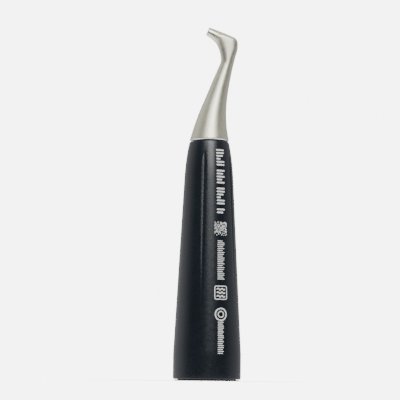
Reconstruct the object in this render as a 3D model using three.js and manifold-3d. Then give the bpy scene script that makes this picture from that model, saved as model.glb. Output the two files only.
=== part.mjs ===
// A dental air polishing handpiece: a black fluted grip with a bent steel head that sprays water around
// a jet of air and powder. Millimetres, +Z up. The origin is the centre of the rear face, on the grip's
// axis; the nozzle bends towards -X and the object is symmetric about the XZ plane.
//
// The stack runs from the rear face up: end ring, hose socket with its ball latch, rear block with the
// water check valve, tubes and cage rods, front block, and the head that screws onto its stub.

import * as THREE from "three";
import { mergeVertices } from "three/addons/utils/BufferGeometryUtils.js";
import Module from "manifold-3d";

const wasm = await Module();
wasm.setup();

// ---------------------------------------------------------------- driving dimensions

// Fits
const SLIP = 0.15; // radial gap of a piece that slides, turns or threads in another
const FACE_GAP = 0.3; // gap between faces that rest on each other
const SEAL_GAP = 0.12; // gap around a seal in its groove

// Grip sleeve
const GRIP_LENGTH = 77.45; // height of the front face
const GRIP_REAR_RADIUS = 11;
const GRIP_SHOULDER_RADIUS = 8.03; // where the taper ends
const GRIP_FRONT_RADIUS = 6.45;
const GRIP_REAR_Z = 0.5; // the end ring's lip sits below it
const GRIP_BAND_TOP = 8.6; // the rear band is a cylinder up to here
const GRIP_SHOULDER_HEIGHT = 12.4;
const GRIP_WALL = 1.5;
const GRIP_LIP = 5.6; // thickness of the inner lip at the front
const GRIP_EDGE = 0.5; // rounding of the rear edge

// Flutes
const FLUTE_COUNT = 5;
const FLUTE_CUTTER = 1.3; // radius of the round cutter
const FLUTE_DEPTH = 0.33; // at the shoulder
const FLUTE_REAR_Z = 24; // the flute runs out here

// Threaded stub and head
const STUB_RADIUS = 3.6; // crest of the thread
const STUB_LENGTH = 5.9; // how far the stub stands out of the grip
const THREAD_PITCH = 0.75;
const THREAD_DEPTH = 0.35;
const HEAD_RADIUS = 6.4; // widest, just above the chamfer
const HEAD_CHAMFER = 0.5; // height of the chamfer, which is half as wide
const HEAD_SEAL_WIRE = 0.45; // radius of the O-ring's section

// Water way and jet in the head
const WATER_WAY_SHARE = 0.7; // of the head's half depth
const WATER_WAY_MOST = 3.2;
const WATER_WAY_START = 0.14; // share of the head's length, above the stub's bore
const JET_TUBE_RADIUS = 0.8;
const JET_TUBE_BORE = 0.5;
const JET_RADIUS = 0.7;
const JET_BORE = 0.4;
const JET_LENGTH = 2.7;
const JET_RECESS = 0.2; // how far the jet sits inside the outer nozzle
const SPACER_THICKNESS = 1.2;

// Front block
const FLANGE_RADIUS = 5.6;
const FLANGE_LENGTH = 8;
const FLANGE_SEAT_LENGTH = 4; // how much of the flange the grip's front bore guides
const GASKET_THICKNESS = 0.5;
const PORT_SEAL_WIRE = 0.35;
const PORT_BUSH_LENGTH = 0.8;
const WATER_HOLE = 0.45;

// Tubes and rods between the blocks
const BLOCK_JOINT = 3; // how far a tube or rod goes into a block
const POWDER_TUBE_RADIUS = 1.2;
const POWDER_TUBE_BORE = 0.75;
const WATER_TUBE_RADIUS = 0.8;
const WATER_TUBE_BORE = 0.45;
const ROD_RADIUS = 1;
const ROD_END_RADIUS = 0.7;
const ROD_SPREAD = 4.1; // distance of a rod from the grip's axis
const ROD_ANGLE = 128; // degrees from the +X axis, either side

// Rear block and water check valve
const REAR_BLOCK_LENGTH = 18;
const REAR_BLOCK_STEP = 5; // length of the wide part
const PORT_DEPTH = 6; // the nose of the hose plug goes in here
const PORT_WALL = 0.48; // between the port's seal groove and the water hole
const PORT_GROOVE_DEPTH = 2.2; // of the seal's middle below the block's rear face
const INLET_SEAL_WIRE = 0.5;
const INLET_SEAL_SQUEEZE = 0.3; // how far the seal stands into the port
const BLOCK_SEAL_RADIUS = 7.1;
const BLOCK_SEAL_WIRE = 0.4;
const WATER_HOLE_EDGE = 0.2; // between the water hole and the socket's wall
const VALVE_BODY_RADIUS = 1.4;
const VALVE_SEAT_BORE = 0.6;
const VALVE_SEAT_LENGTH = 1.4;
const VALVE_BALL_RADIUS = 0.9;
const VALVE_SPRING_LENGTH = 4;
const VALVE_SPRING_TURNS = 6;
const VALVE_SPRING_WIRE = 0.13; // radius
const VALVE_PLUG_LENGTH = 3;

// Hose socket, ball latch and end ring
const SOCKET_BORE = 6;
const SOCKET_DEPTH = 19.7; // height of the socket's front end
const SOCKET_REAR_Z = 1.2;
const SOCKET_NECK_WALL = 0.95;
const SOCKET_WALL = 2.2;
const LATCH_Z = 12;
const LATCH_COUNT = 3;
const LATCH_BALL_RADIUS = 1;
const LATCH_INSIDE = 0.45; // how far a ball stands into the bore
const LATCH_RING_WIRE = 0.3;
const LATCH_RING_OPENING = 40; // degrees
const END_RING_THREAD_WALL = 1.3; // radial height taken from the grip's wall
const END_RING_LENGTH = 6.9;
const SPANNER_SLOTS = 4;
const SPANNER_SLOT = 1.6;

// ---------------------------------------------------------------- helpers

const TURN = 2 * Math.PI;
const UP = new THREE.Vector3(0, 0, 1);
const root = new THREE.Group();

// The manifold-3d solid of a closed geometry.
function solidOf(geometry) {
  const bare = geometry.clone();
  bare.deleteAttribute("normal");
  bare.deleteAttribute("uv");
  const merged = mergeVertices(bare, 1e-4);
  return new wasm.Manifold(
    new wasm.Mesh({
      numProp: 3,
      vertProperties: new Float32Array(merged.attributes.position.array),
      triVerts: new Uint32Array(merged.index.array),
    }),
  );
}

// The geometry less each of the tools.
function cut(geometry, ...tools) {
  const left = tools.reduce((solid, tool) => solid.subtract(solidOf(tool)), solidOf(geometry));
  const mesh = left.getMesh();
  return new THREE.BufferGeometry()
    .setAttribute("position", new THREE.BufferAttribute(mesh.vertProperties, 3))
    .setIndex(new THREE.BufferAttribute(mesh.triVerts, 1));
}

// A piece turned about Z. The outline is anticlockwise [radius, height] points, and closes on itself
// where it leaves the axis.
function turned(outline, segments = 32) {
  const points = outline.map(([r, z]) => new THREE.Vector2(r, z));
  if (outline[0][0] > 0) points.push(points[0].clone());
  return new THREE.LatheGeometry(points, segments).rotateX(Math.PI / 2);
}

// A cylinder about Z, or a cone where the top has a radius of its own.
function rod(radius, low, high, segments = 18, topRadius = radius) {
  return new THREE.CylinderGeometry(topRadius, radius, high - low, segments)
    .rotateX(Math.PI / 2)
    .translate(0, 0, (low + high) / 2);
}

function pipe(radius, bore, low, high, segments = 18) {
  return turned([[bore, low], [radius, low], [radius, high], [bore, high]], segments);
}

// An O-ring about Z; wire is the radius of its section.
function sealRing(radius, wire, z, segments = 24) {
  return new THREE.TorusGeometry(radius, wire, 8, segments).translate(0, 0, z);
}

// A round tube along a curve, or a wire where it has no bore.
function swept(curve, radius, bore, steps, sides) {
  const section = new THREE.Shape().absarc(0, 0, radius, 0, TURN);
  if (bore) section.holes.push(new THREE.Path().absarc(0, 0, bore, 0, TURN, true));
  return new THREE.ExtrudeGeometry(section, { steps, extrudePath: curve, curveSegments: sides / 2 });
}

// A closed skin over rings of points, all with the same number of points.
function skin(rings) {
  const count = rings[0].length;
  const top = (rings.length - 1) * count;
  const ends = [rings[0], rings.at(-1)].map((ring) =>
    ring.reduce((sum, p) => sum.add(p), new THREE.Vector3()).divideScalar(count),
  );
  const points = [...rings.flat(), ...ends];
  const [first, last] = [points.length - 2, points.length - 1];
  const faces = [];
  for (let k = 0; k < count; k++) {
    const next = (k + 1) % count;
    faces.push(next, k, first, top + k, top + next, last);
    for (let row = 0; row < top; row += count) {
      faces.push(row + k, row + next, row + count + k);
      faces.push(row + next, row + count + next, row + count + k);
    }
  }
  return new THREE.BufferGeometry().setFromPoints(points).setIndex(faces);
}

function circle(radius, z, sides) {
  return Array.from({ length: sides }, (_, k) => {
    const a = (k / sides) * TURN;
    return new THREE.Vector3(radius * Math.cos(a), radius * Math.sin(a), z);
  });
}

const curveThrough = (points) => new THREE.CatmullRomCurve3(points, false, "centripetal");

function finish(colour, roughness, metalness) {
  return new THREE.MeshStandardMaterial({ color: colour, roughness, metalness });
}

function piece(name, geometry, material) {
  const mesh = new THREE.Mesh(geometry, material);
  mesh.name = name;
  root.add(mesh);
}

const satinSteel = finish(0xbdbbb2, 0.34, 1);
const brightSteel = finish(0xd5d5d2, 0.2, 1);
const blackAnodised = finish(0x14181c, 0.42, 0.3);
const blackRing = finish(0x0c0d0f, 0.35, 0.4);
const brass = finish(0xb59a5a, 0.3, 1);
const polymer = finish(0xcdb98c, 0.5, 0);
const blackRubber = finish(0x2a2c2e, 0.75, 0);
const redSilicone = finish(0xb4472f, 0.6, 0);

// ---------------------------------------------------------------- grip sleeve

const SHOULDER_Z = GRIP_LENGTH - GRIP_SHOULDER_HEIGHT;
const TAPER = (GRIP_REAR_RADIUS - GRIP_SHOULDER_RADIUS) / (SHOULDER_Z - GRIP_BAND_TOP);
const taperRadius = (z) => GRIP_REAR_RADIUS - TAPER * Math.max(0, z - GRIP_BAND_TOP);
const insideRadius = (z) => taperRadius(z) - GRIP_WALL;

const LIP_Z = GRIP_LENGTH - GRIP_LIP; // underside of the inner lip
const LIP_BORE = STUB_RADIUS + SLIP;
const FLANGE_SEAT = FLANGE_RADIUS + SLIP;
const END_RING_THREAD = GRIP_REAR_RADIUS - END_RING_THREAD_WALL;

// The shoulder leaves the taper tangentially and rounds in to the front face.
function shoulderCurve() {
  const rise = GRIP_SHOULDER_HEIGHT * 0.61;
  return new THREE.QuadraticBezierCurve(
    new THREE.Vector2(GRIP_SHOULDER_RADIUS, SHOULDER_Z),
    new THREE.Vector2(GRIP_SHOULDER_RADIUS - TAPER * rise, SHOULDER_Z + rise),
    new THREE.Vector2(GRIP_FRONT_RADIUS, GRIP_LENGTH),
  );
}

function gripSleeve() {
  const edge = new THREE.EllipseCurve(
    GRIP_REAR_RADIUS - GRIP_EDGE,
    GRIP_REAR_Z + GRIP_EDGE,
    GRIP_EDGE,
    GRIP_EDGE,
    -Math.PI / 2,
    0,
  );
  const outside = [...edge.getPoints(4), new THREE.Vector2(GRIP_REAR_RADIUS, GRIP_BAND_TOP)];
  outside.push(...shoulderCurve().getPoints(10));
  const threadTop = GRIP_REAR_Z + END_RING_LENGTH + FACE_GAP;
  const seatLow = LIP_Z - FLANGE_SEAT_LENGTH;
  const sleeve = turned(
    [
      ...outside.map((p) => [p.x, p.y]),
      [LIP_BORE, GRIP_LENGTH],
      [LIP_BORE, LIP_Z],
      [FLANGE_SEAT, LIP_Z],
      [FLANGE_SEAT, seatLow],
      [insideRadius(seatLow - 1), seatLow - 1],
      [insideRadius(threadTop), threadTop],
      [END_RING_THREAD + SLIP, threadTop],
      [END_RING_THREAD + SLIP, GRIP_REAR_Z],
    ],
    40,
  );
  return cut(sleeve, ...fluteCutters());
}

// Each flute is cut along a straight line that starts on the taper and is deepest at the shoulder, so
// it runs out to a point on the shoulder's curve.
function fluteCutters() {
  const low = new THREE.Vector2(taperRadius(FLUTE_REAR_Z), FLUTE_REAR_Z);
  const high = new THREE.Vector2(GRIP_SHOULDER_RADIUS - FLUTE_DEPTH, SHOULDER_Z);
  const middle = low.clone().add(high).divideScalar(2);
  const lean = Math.atan2(high.x - low.x, high.y - low.y);
  return Array.from({ length: FLUTE_COUNT }, (_, i) =>
    rod(FLUTE_CUTTER, -GRIP_LENGTH, GRIP_LENGTH, 28)
      .rotateY(lean)
      .translate(middle.x + FLUTE_CUTTER, 0, middle.y)
      .rotateZ(Math.PI + (i * TURN) / FLUTE_COUNT),
  );
}

// ---------------------------------------------------------------- head

// Ribs of the head in the XZ plane, from the chamfer to the mouth: where each starts on the inner side
// of the bend and ends on the outer side. Heights are above the grip's front face.
const HEAD_RIBS = [
  { inner: [-HEAD_RADIUS, 0.8], outer: [HEAD_RADIUS, 0.8] },
  { inner: [-5.1, 5.03], outer: [5.78, 4.62] },
  { inner: [-3.35, 10.06], outer: [5.5, 9.24] },
  { inner: [-1.15, 15.4], outer: [5.72, 13.96] },
  { inner: [1.05, 20.84], outer: [6.45, 19.3] },
  { inner: [2.65, 24.63], outer: [7.3, 23.81] },
  { inner: [3.58, 27.1], outer: [8.1, 27.4] },
  { inner: [3.38, 29.46], outer: [9.12, 31.72] },
  { inner: [2.75, 31.51], outer: [8.7, 34.28] },
  { inner: [1.85, 33.05], outer: [6.3, 35.67] },
  { inner: [0.3, 34.38], outer: [2.6, 37.1] },
  { inner: [-1.45, 35.5], outer: [-0.36, 38.14] },
];

const SEAM_Z = GRIP_LENGTH + FACE_GAP; // the head's rear face
const STUB_TOP = SEAM_Z + STUB_LENGTH;
const STUB_NECK_RADIUS = STUB_RADIUS - THREAD_DEPTH;
const HEAD_BORE_TOP = STUB_TOP + FACE_GAP;
const HEAD_SEAL_RADIUS = STUB_RADIUS + SEAL_GAP + HEAD_SEAL_WIRE;
const HEAD_SEAL_POCKET = HEAD_SEAL_RADIUS + HEAD_SEAL_WIRE + SEAL_GAP;
const HEAD_SEAL_POCKET_DEPTH = 2 * (HEAD_SEAL_WIRE + SEAL_GAP);

const ribPoint = ([x, z]) => new THREE.Vector3(x, 0, GRIP_LENGTH + z);
const innerSide = curveThrough(HEAD_RIBS.map((rib) => ribPoint(rib.inner)));
const outerSide = curveThrough(HEAD_RIBS.map((rib) => ribPoint(rib.outer)));
const middleOf = (share) => innerSide.getPoint(share).lerp(outerSide.getPoint(share), 0.5);
const halfWidth = (share) => innerSide.getPoint(share).distanceTo(outerSide.getPoint(share)) / 2;

// Half the head's depth along Y. The head only ever gets thinner towards the mouth, so the knee is a
// flat web rather than a bulb.
function halfDepth(share) {
  const samples = 60;
  let least = halfWidth(0);
  for (let i = 1; i <= samples; i++) least = Math.min(least, halfWidth((share * i) / samples));
  return least;
}

// A ring of points around a rib.
function oval(share, along, depth, sides) {
  const middle = middleOf(share);
  const across = outerSide.getPoint(share).sub(middle).normalize();
  return Array.from({ length: sides }, (_, k) => {
    const a = (k / sides) * TURN;
    const p = middle.clone().addScaledVector(across, along * Math.cos(a));
    p.y += depth * Math.sin(a);
    return p;
  });
}

const tip = middleOf(1);
const tipAcross = outerSide.getPoint(1).sub(innerSide.getPoint(1)).normalize();
const tipOut = new THREE.Vector3(-tipAcross.z, 0, tipAcross.x);
const toTip = new THREE.Quaternion().setFromUnitVectors(UP, tipOut);

function waterWay(share) {
  return Math.min(WATER_WAY_MOST, WATER_WAY_SHARE * halfDepth(share));
}

function nozzleHead() {
  const sides = 24;
  const steps = 26;
  const outside = [circle(HEAD_RADIUS - HEAD_CHAMFER / 2, SEAM_Z, sides)];
  for (let i = 0; i <= steps; i++) {
    const share = i / steps;
    outside.push(oval(share, halfWidth(share), halfDepth(share), sides));
  }
  const waySides = 14;
  const waySteps = 18;
  const inside = [circle(WATER_WAY_MOST, HEAD_BORE_TOP - FACE_GAP, waySides)];
  for (let i = 0; i <= waySteps; i++) {
    const share = THREE.MathUtils.lerp(WATER_WAY_START, 1, i / waySteps);
    inside.push(oval(share, waterWay(share), waterWay(share), waySides));
  }
  inside.push(inside.at(-1).map((p) => p.clone().add(tipOut)));
  return cut(
    skin(outside),
    skin(inside),
    rod(STUB_RADIUS + SLIP, SEAM_Z - 1, HEAD_BORE_TOP, 24),
    rod(HEAD_SEAL_POCKET, SEAM_Z - 1, SEAM_Z + HEAD_SEAL_POCKET_DEPTH, 24),
  );
}

// The head's powder tube runs up the stub on the grip's axis, then through the middle of the head.
const FLANGE_TOP = LIP_Z - GASKET_THICKNESS - 2 * SEAL_GAP;
const FLANGE_LOW = FLANGE_TOP - FLANGE_LENGTH;
const JET_TUBE_LOW = FLANGE_LOW + 2 * BLOCK_JOINT + FACE_GAP;

function jetTubeLine() {
  const straightTop = HEAD_BORE_TOP + 1;
  const points = [0, 0.33, 0.66, 0.9, 1].map(
    (share) => new THREE.Vector3(0, 0, THREE.MathUtils.lerp(JET_TUBE_LOW, straightTop, share)),
  );
  const bendStart = 0.22;
  const bendEnd = 0.86;
  const bendPoints = 16;
  for (let i = 0; i <= bendPoints; i++)
    points.push(middleOf(THREE.MathUtils.lerp(bendStart, bendEnd, i / bendPoints)));
  points.push(tip.clone().addScaledVector(tipOut, -(JET_RECESS + JET_LENGTH + FACE_GAP)));
  return curveThrough(points);
}

function powderNozzle() {
  return pipe(JET_RADIUS, JET_BORE, -JET_RECESS - JET_LENGTH, -JET_RECESS)
    .applyQuaternion(toTip)
    .translate(tip.x, tip.y, tip.z);
}

// The slotted disc that holds the powder tube in the middle of the water way.
function tubeSpacer() {
  const line = jetTubeLine();
  const share = 0.55; // of the tube's length, in the neck
  const seat = line.getPointAt(share);
  const along = line.getTangentAt(share);
  const headShares = Array.from({ length: 101 }, (_, i) => i / 100);
  const away = (s) => middleOf(s).distanceTo(seat);
  const here = headShares.reduce((best, s) => (away(s) < away(best) ? s : best));
  const radius = waterWay(here) - SLIP;
  const half = SPACER_THICKNESS / 2;
  const slots = [0, 1, 2].map((i) =>
    rod(radius / 4, -half - 1, half + 1, 12).translate(radius, 0, 0).rotateZ((i * TURN) / 3),
  );
  return cut(rod(radius, -half, half), rod(JET_TUBE_RADIUS + SLIP, -half - 1, half + 1), ...slots)
    .applyQuaternion(new THREE.Quaternion().setFromUnitVectors(UP, along))
    .translate(seat.x, seat.y, seat.z);
}

// ---------------------------------------------------------------- front block

const PORT_SEAL_RADIUS = JET_TUBE_RADIUS + SEAL_GAP + PORT_SEAL_WIRE;
const PORT_POCKET = PORT_SEAL_RADIUS + PORT_SEAL_WIRE + SEAL_GAP;
const PORT_POCKET_DEPTH = PORT_BUSH_LENGTH + 2 * (PORT_SEAL_WIRE + SEAL_GAP);
const WATER_HOLE_X = (PORT_POCKET + STUB_NECK_RADIUS) / 2;

// The holes in a block for the ends of the tubes and rods that join the two blocks.
function jointHoles(low, high, waterX, waterRadius) {
  return [
    rod(POWDER_TUBE_RADIUS + SLIP, low, high),
    rod(waterRadius, low, high).translate(waterX, 0, 0),
    ...rodPlaces().map(([x, y]) => rod(ROD_END_RADIUS + SLIP, low, high, 12).translate(x, y, 0)),
  ];
}

function frontBlock() {
  const threadLow = SEAM_Z + HEAD_SEAL_POCKET_DEPTH;
  const turns = Math.floor((STUB_TOP - threadLow) / THREAD_PITCH);
  const thread = [];
  for (let i = 0; i < turns; i++) {
    const z = threadLow + i * THREAD_PITCH;
    thread.push([STUB_NECK_RADIUS, z], [STUB_RADIUS, z + THREAD_PITCH / 2]);
  }
  const body = turned(
    [
      [0, FLANGE_LOW],
      [FLANGE_RADIUS, FLANGE_LOW],
      [FLANGE_RADIUS, FLANGE_TOP],
      [STUB_NECK_RADIUS, FLANGE_TOP],
      ...thread,
      [STUB_NECK_RADIUS, STUB_TOP],
      [0, STUB_TOP],
    ],
    24,
  );
  return cut(
    body,
    rod(JET_TUBE_RADIUS + SLIP, FLANGE_LOW - 1, STUB_TOP + 1),
    rod(PORT_POCKET, STUB_TOP - PORT_POCKET_DEPTH, STUB_TOP + 1),
    rod(WATER_HOLE, FLANGE_LOW - 1, STUB_TOP + 1, 12).translate(WATER_HOLE_X, 0, 0),
    ...jointHoles(
      FLANGE_LOW - 1,
      FLANGE_LOW + BLOCK_JOINT + FACE_GAP,
      WATER_HOLE_X,
      WATER_TUBE_RADIUS + SLIP,
    ),
  );
}

// ---------------------------------------------------------------- rear block and check valve

const REAR_BLOCK_Z = SOCKET_DEPTH + FACE_GAP;
const REAR_BLOCK_TOP = REAR_BLOCK_Z + REAR_BLOCK_LENGTH;
const STEP_Z = REAR_BLOCK_Z + REAR_BLOCK_STEP;
const PORT_TOP = REAR_BLOCK_Z + PORT_DEPTH;
const INLET_SEAL_Z = REAR_BLOCK_Z + PORT_GROOVE_DEPTH;
const VALVE_OFFSET = SOCKET_BORE - WATER_HOLE_EDGE - VALVE_SEAT_BORE; // towards +X
const PORT_GROOVE = VALVE_OFFSET - VALVE_SEAT_BORE - PORT_WALL;
const INLET_SEAL_RADIUS = PORT_GROOVE - SEAL_GAP - INLET_SEAL_WIRE;
const PORT_RADIUS = INLET_SEAL_RADIUS - INLET_SEAL_WIRE + INLET_SEAL_SQUEEZE;
const VALVE_CHAMBER = VALVE_BODY_RADIUS + SLIP / 2;
const VALVE_SEAT_Z = PORT_TOP + 2 * FACE_GAP;
const VALVE_SEAT_TOP = VALVE_SEAT_Z + VALVE_SEAT_LENGTH;
const VALVE_BALL_Z = VALVE_SEAT_TOP + Math.sqrt(VALVE_BALL_RADIUS ** 2 - VALVE_SEAT_BORE ** 2);
const VALVE_SPRING_LOW = VALVE_BALL_Z + VALVE_BALL_RADIUS;
const VALVE_PLUG_LOW = VALVE_SPRING_LOW + VALVE_SPRING_LENGTH + SEAL_GAP;
const VALVE_PLUG_TOP = VALVE_PLUG_LOW + VALVE_PLUG_LENGTH;

function rearBlock() {
  const body = turned([
    [0, REAR_BLOCK_Z],
    [insideRadius(STEP_Z) - SLIP, REAR_BLOCK_Z],
    [insideRadius(STEP_Z) - SLIP, STEP_Z],
    [insideRadius(REAR_BLOCK_TOP) - SLIP, STEP_Z],
    [insideRadius(REAR_BLOCK_TOP) - SLIP, REAR_BLOCK_TOP],
    [0, REAR_BLOCK_TOP],
  ]);
  const sealHalf = BLOCK_SEAL_WIRE + SEAL_GAP;
  const grooveHalf = INLET_SEAL_WIRE + SEAL_GAP;
  return cut(
    body,
    rod(PORT_RADIUS, REAR_BLOCK_Z - 1, PORT_TOP, 24),
    rod(PORT_GROOVE, INLET_SEAL_Z - grooveHalf, INLET_SEAL_Z + grooveHalf, 24),
    rod(POWDER_TUBE_BORE, REAR_BLOCK_Z, REAR_BLOCK_TOP + 1),
    rod(VALVE_SEAT_BORE, REAR_BLOCK_Z - 1, VALVE_SEAT_Z, 12).translate(VALVE_OFFSET, 0, 0),
    rod(VALVE_CHAMBER, VALVE_SEAT_Z - FACE_GAP, REAR_BLOCK_TOP + 1).translate(VALVE_OFFSET, 0, 0),
    pipe(
      BLOCK_SEAL_RADIUS + sealHalf,
      BLOCK_SEAL_RADIUS - sealHalf,
      REAR_BLOCK_Z - 1,
      REAR_BLOCK_Z + 2 * BLOCK_SEAL_WIRE,
      32,
    ),
    ...jointHoles(
      REAR_BLOCK_TOP - BLOCK_JOINT - FACE_GAP,
      REAR_BLOCK_TOP + 1,
      VALVE_OFFSET,
      WATER_TUBE_RADIUS + SLIP,
    ),
  );
}

function valveSeat() {
  const mouth = rod(VALVE_SEAT_BORE, VALVE_SEAT_TOP - 0.2, VALVE_SEAT_TOP + 0.2, 18, VALVE_SEAT_BORE + 0.4);
  return cut(pipe(VALVE_BODY_RADIUS, VALVE_SEAT_BORE, VALVE_SEAT_Z, VALVE_SEAT_TOP), mouth).translate(
    VALVE_OFFSET,
    0,
    0,
  );
}

function valveBall() {
  return new THREE.SphereGeometry(VALVE_BALL_RADIUS, 14, 8)
    .rotateX(Math.PI / 2)
    .translate(VALVE_OFFSET, 0, VALVE_BALL_Z);
}

// A helix about Z.
class Coil extends THREE.Curve {
  constructor(radius, low, high, turns) {
    super();
    Object.assign(this, { radius, low, high, turns });
  }

  getPoint(share, target = new THREE.Vector3()) {
    const a = share * this.turns * TURN;
    const z = THREE.MathUtils.lerp(this.low, this.high, share);
    return target.set(this.radius * Math.cos(a), this.radius * Math.sin(a), z);
  }
}

function valveSpring() {
  const wire = VALVE_SPRING_WIRE;
  const low = VALVE_SPRING_LOW + wire + SEAL_GAP / 2;
  const high = VALVE_SPRING_LOW + VALVE_SPRING_LENGTH - wire;
  const coil = new Coil(VALVE_BALL_RADIUS, low, high, VALVE_SPRING_TURNS);
  return swept(coil, wire, 0, VALVE_SPRING_TURNS * 10, 6).translate(VALVE_OFFSET, 0, 0);
}

function valvePlug() {
  return cut(
    pipe(VALVE_BODY_RADIUS, WATER_TUBE_BORE, VALVE_PLUG_LOW, VALVE_PLUG_TOP),
    new THREE.BoxGeometry(0.6, 4 * VALVE_BODY_RADIUS, 1.2).translate(0, 0, VALVE_PLUG_TOP),
  ).translate(VALVE_OFFSET, 0, 0);
}

// ---------------------------------------------------------------- cage rods and tubes

function rodPlaces() {
  return [1, -1].map((side) => {
    const a = THREE.MathUtils.degToRad(side * ROD_ANGLE);
    return [ROD_SPREAD * Math.cos(a), ROD_SPREAD * Math.sin(a)];
  });
}

function cageRod([x, y]) {
  return turned(
    [
      [0, REAR_BLOCK_TOP - BLOCK_JOINT],
      [ROD_END_RADIUS, REAR_BLOCK_TOP - BLOCK_JOINT],
      [ROD_END_RADIUS, REAR_BLOCK_TOP + FACE_GAP],
      [ROD_RADIUS, REAR_BLOCK_TOP + FACE_GAP],
      [ROD_RADIUS, FLANGE_LOW - FACE_GAP],
      [ROD_END_RADIUS, FLANGE_LOW - FACE_GAP],
      [ROD_END_RADIUS, FLANGE_LOW + BLOCK_JOINT],
      [0, FLANGE_LOW + BLOCK_JOINT],
    ],
    14,
  ).translate(x, y, 0);
}

// The water tube leaves the check valve and bends in to the front block's water hole.
function waterTube() {
  const low = VALVE_PLUG_TOP + FACE_GAP;
  const high = FLANGE_LOW + BLOCK_JOINT;
  const bendLow = REAR_BLOCK_TOP + 6;
  const bendHigh = FLANGE_LOW - 3;
  const line = curveThrough([
    new THREE.Vector3(VALVE_OFFSET, 0, low),
    new THREE.Vector3(VALVE_OFFSET, 0, REAR_BLOCK_TOP),
    new THREE.Vector3(VALVE_OFFSET, 0, bendLow),
    new THREE.Vector3((VALVE_OFFSET + WATER_HOLE_X) / 2, 0, (bendLow + bendHigh) / 2),
    new THREE.Vector3(WATER_HOLE_X, 0, bendHigh),
    new THREE.Vector3(WATER_HOLE_X, 0, FLANGE_LOW),
    new THREE.Vector3(WATER_HOLE_X, 0, high),
  ]);
  return swept(line, WATER_TUBE_RADIUS, WATER_TUBE_BORE, 18, 8);
}

// ---------------------------------------------------------------- socket, ball latch and end ring

const SOCKET_NECK = SOCKET_BORE + SOCKET_NECK_WALL;
const SOCKET_RADIUS = SOCKET_BORE + SOCKET_WALL;
const SOCKET_SHOULDER_Z = END_RING_LENGTH + FACE_GAP;
const LATCH_BALL_X = SOCKET_BORE - LATCH_INSIDE + LATCH_BALL_RADIUS;
const LATCH_GROOVE = LATCH_BALL_X + LATCH_BALL_RADIUS;
const LATCH_RING_RADIUS = LATCH_GROOVE + SEAL_GAP + LATCH_RING_WIRE;
const latchAngle = (i) => TURN / 4 + (i * TURN) / LATCH_COUNT;

function socketLiner() {
  const grooveHalf = LATCH_RING_WIRE + SEAL_GAP;
  const mouth = 0.5; // chamfer of the bore's rear end
  const liner = turned([
    [SOCKET_BORE, SOCKET_REAR_Z + mouth],
    [SOCKET_BORE + mouth, SOCKET_REAR_Z],
    [SOCKET_NECK, SOCKET_REAR_Z],
    [SOCKET_NECK, SOCKET_SHOULDER_Z],
    [SOCKET_RADIUS, SOCKET_SHOULDER_Z],
    [SOCKET_RADIUS, LATCH_Z - grooveHalf],
    [LATCH_GROOVE, LATCH_Z - grooveHalf],
    [LATCH_GROOVE, LATCH_Z + grooveHalf],
    [SOCKET_RADIUS, LATCH_Z + grooveHalf],
    [SOCKET_RADIUS, SOCKET_DEPTH],
    [SOCKET_BORE, SOCKET_DEPTH],
  ]);
  return cut(liner, ...Array.from({ length: LATCH_COUNT }, (_, i) => ballHole(i)).flat());
}

// A ball's hole narrows towards the bore, so that the ball stands into the bore but can't fall in.
function ballHole(i) {
  const toBore = LATCH_BALL_RADIUS - LATCH_INSIDE;
  const narrow = Math.sqrt(LATCH_BALL_RADIUS ** 2 - toBore ** 2) + SEAL_GAP / 2;
  const wide = LATCH_BALL_RADIUS + SLIP;
  return [
    rod(narrow, SOCKET_BORE - 1, SOCKET_BORE + SEAL_GAP / 2, 16),
    rod(narrow, SOCKET_BORE, LATCH_BALL_X, 16, wide),
    rod(wide, LATCH_BALL_X - SEAL_GAP / 2, SOCKET_RADIUS + 1, 16),
  ].map((tool) => tool.rotateY(Math.PI / 2).translate(0, 0, LATCH_Z).rotateZ(latchAngle(i)));
}

function latchBall(i) {
  return new THREE.SphereGeometry(LATCH_BALL_RADIUS, 14, 8)
    .rotateZ(Math.PI / 2)
    .translate(LATCH_BALL_X, 0, LATCH_Z)
    .rotateZ(latchAngle(i));
}

function latchRing() {
  const open = LATCH_RING_OPENING / 360;
  const arc = new Coil(LATCH_RING_RADIUS, LATCH_Z, LATCH_Z, 1 - open);
  return swept(arc, LATCH_RING_WIRE, 0, 32, 8).rotateZ(-TURN / 4 + (open / 2) * TURN);
}

function endRing() {
  const bore = SOCKET_NECK + SLIP;
  const lip = GRIP_REAR_RADIUS - GRIP_EDGE;
  const lipTop = GRIP_REAR_Z - SEAL_GAP;
  const chamfer = 0.15;
  const ring = turned(
    [
      [bore + 2 * chamfer, 0],
      [lip - chamfer, 0],
      [lip, chamfer],
      [lip, lipTop],
      [END_RING_THREAD, lipTop],
      [END_RING_THREAD, END_RING_LENGTH],
      [bore, END_RING_LENGTH],
      [bore, 2 * chamfer],
    ],
    40,
  );
  const slots = Array.from({ length: SPANNER_SLOTS }, (_, i) =>
    new THREE.BoxGeometry(SPANNER_SLOT, SPANNER_SLOT, SPANNER_SLOT)
      .translate(bore + SPANNER_SLOT / 3, 0, 0)
      .rotateZ(((i + 0.5) * TURN) / SPANNER_SLOTS),
  );
  return cut(ring, ...slots);
}

// ---------------------------------------------------------------- assembly

// Head
piece("nozzle_head", nozzleHead(), satinSteel);
piece("powder_nozzle", powderNozzle(), brightSteel);
piece("head_powder_tube", swept(jetTubeLine(), JET_TUBE_RADIUS, JET_TUBE_BORE, 32, 8), brightSteel);
piece("tube_spacer", tubeSpacer(), polymer);
const headSealZ = SEAM_Z + SEAL_GAP + HEAD_SEAL_WIRE;
piece("head_seal_ring", sealRing(HEAD_SEAL_RADIUS, HEAD_SEAL_WIRE, headSealZ), redSilicone);

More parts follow.
